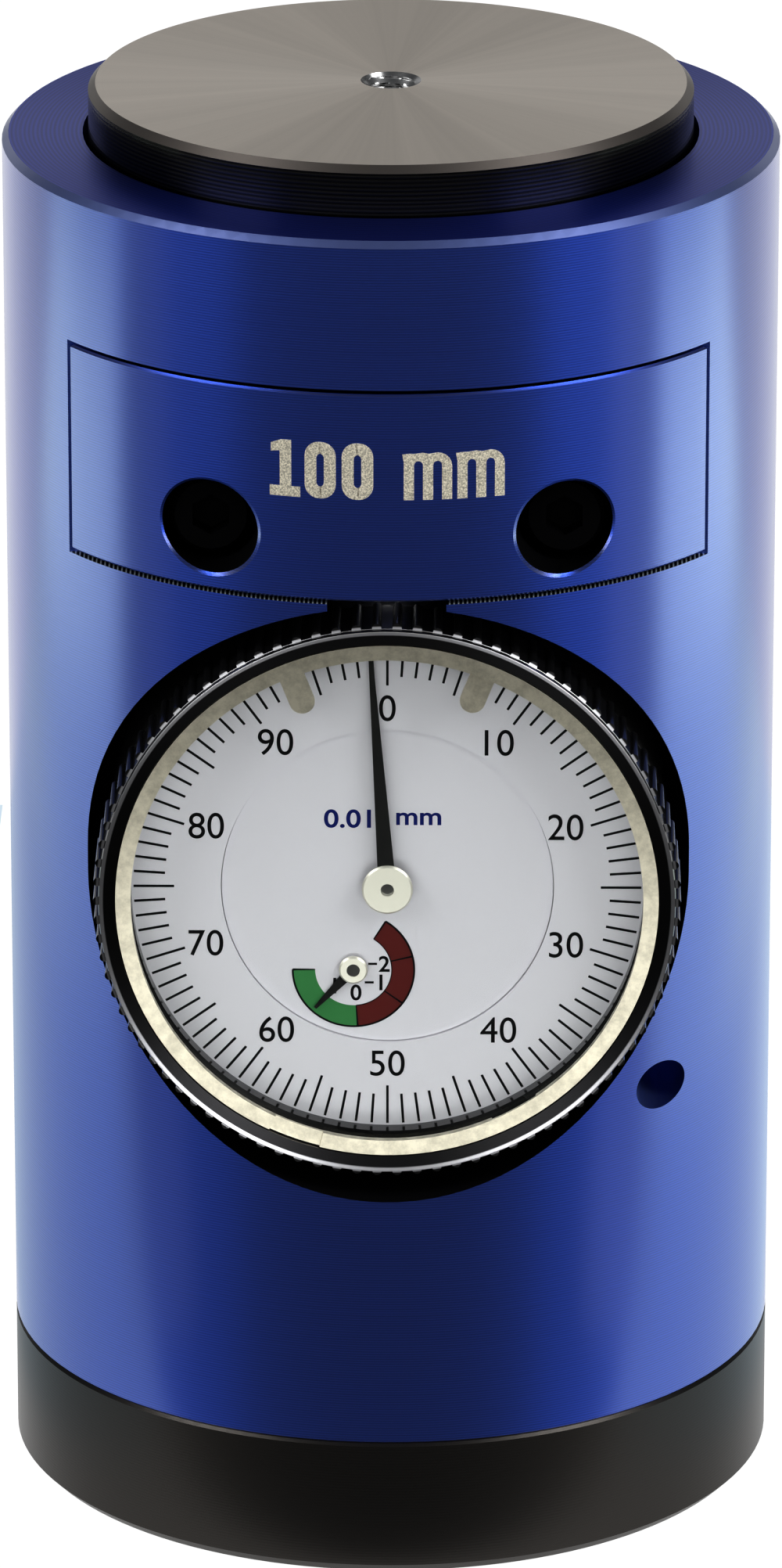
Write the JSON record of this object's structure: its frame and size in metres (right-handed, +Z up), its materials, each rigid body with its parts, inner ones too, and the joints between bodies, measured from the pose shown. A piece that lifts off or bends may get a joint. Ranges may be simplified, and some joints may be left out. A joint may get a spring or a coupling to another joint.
{
  "type": "tool height setter",
  "caption": "Round tool height setter: a sprung steel anvil on a blue housing drives a built-in dial indicator with a turning bezel; black steel base.",
  "frame": {"origin": "centre of the base's underside, on the housing's axis", "axes": "+Z up along the anvil's travel, the dial faces -Y, +X to the viewer's right"},
  "size_m": [0.054, 0.054, 0.101],
  "materials": {
    "blue_anodised": "anodised blue, finely turned, satin",
    "black_steel": "black oxide steel, satin",
    "ground_steel": "face-turned steel, satin",
    "screw_steel": "black oxide alloy steel",
    "bright_steel": "bright steel",
    "bronze": "turned bronze",
    "brass": "turned brass",
    "case_metal": "dark satin",
    "stem_steel": "turned steel",
    "gloss_black": "black gloss",
    "clear": "clear",
    "dial_face": "matt light grey",
    "nickel": "nickel",
    "hand_black": "matt black"
  },
  "bodies": {
    "housing": {"base": "black_steel", "base_screws": "screw_steel", "body": "blue_anodised", "clamp_cover": "blue_anodised", "cover_screws": "screw_steel", "spring_plug": "brass", "turn_pin": "bright_steel", "guide_bush": "bronze", "return_spring": "bright_steel", "gauge_case": "case_metal", "gauge_back": "case_metal", "back_screws": "bright_steel", "gauge_stem": "stem_steel", "end_cap": "case_metal", "guide_rail": "brass", "spring_post": "bright_steel", "plunger_spring": "bright_steel", "front_plate": "brass", "rear_plate": "brass", "movement_pillars": "brass", "plate_screws": "bright_steel", "pinion_cock": "brass", "hairspring": "bright_steel", "centre_dial": "dial_face", "bezel_wire": "bright_steel"},
    "anvil": {"anvil_plate": "ground_steel", "guide_column": "bright_steel", "stop_collar": "bright_steel", "collar_screw": "screw_steel"},
    "spindle": {"rack_spindle": "bright_steel", "contact_point": "bright_steel", "spindle_pin": "bright_steel"},
    "rack_arbor": {"rack_pinion": "bright_steel", "rack_wheel": "brass"},
    "centre_arbor": {"centre_pinion": "bright_steel", "main_hand": "hand_black", "main_hub": "nickel"},
    "counter_arbor": {"counter_arbor": "bright_steel", "counter_wheel": "brass", "counter_hand": "hand_black", "counter_hub": "nickel"},
    "bezel": {"bezel": "gloss_black", "crystal": "clear", "scale_ring": "dial_face"},
    "left_marker": {"marker_left": "nickel"},
    "right_marker": {"marker_right": "nickel"}
  },
  "joints": [
    {"name": "anvil_slide", "type": "slide", "parent": "housing", "child": "anvil", "axis": [0, 0, 1], "range_m": [-0.0035, 0], "stiffness_N_per_m": 900, "springref_m": 0.006, "deforming": ["return_spring"]},
    {"name": "spindle_slide", "type": "slide", "parent": "housing", "child": "spindle", "axis": [0, 0, 1], "range_m": [-0.0036, 0.0001], "deforming": ["plunger_spring"]},
    {"name": "rack_arbor_turn", "type": "hinge", "parent": "housing", "child": "rack_arbor", "pos_m": [0.00236, -0.01585, 0.056], "axis": [0, -1, 0], "range_deg": [-5, 173]},
    {"name": "main_hand_turn", "type": "hinge", "parent": "housing", "child": "centre_arbor", "pos_m": [0, -0.01585, 0.0499], "axis": [0, -1, 0], "range_deg": [-1280, 20]},
    {"name": "counter_hand_turn", "type": "hinge", "parent": "housing", "child": "counter_arbor", "pos_m": [-0.00236, -0.01585, 0.0438], "axis": [0, -1, 0], "range_deg": [-5, 173]},
    {"name": "bezel_turn", "type": "hinge", "parent": "housing", "child": "bezel", "pos_m": [0, -0.01585, 0.0499], "axis": [0, -1, 0], "continuous": true},
    {"name": "marker_left_turn", "type": "hinge", "parent": "bezel", "child": "left_marker", "pos_m": [0, -0.01585, 0.0499], "axis": [0, -1, 0], "continuous": true},
    {"name": "marker_right_turn", "type": "hinge", "parent": "bezel", "child": "right_marker", "pos_m": [0, -0.01585, 0.0499], "axis": [0, -1, 0], "continuous": true}
  ],
  "couplings": [
    {"joint": "spindle_slide", "follows": "anvil_slide", "ratio": 1},
    {"joint": "rack_arbor_turn", "follows": "anvil_slide", "rad_per_m": -837.76},
    {"joint": "main_hand_turn", "follows": "anvil_slide", "rad_per_m": 6283.2},
    {"joint": "counter_hand_turn", "follows": "anvil_slide", "rad_per_m": -837.76}
  ]
}
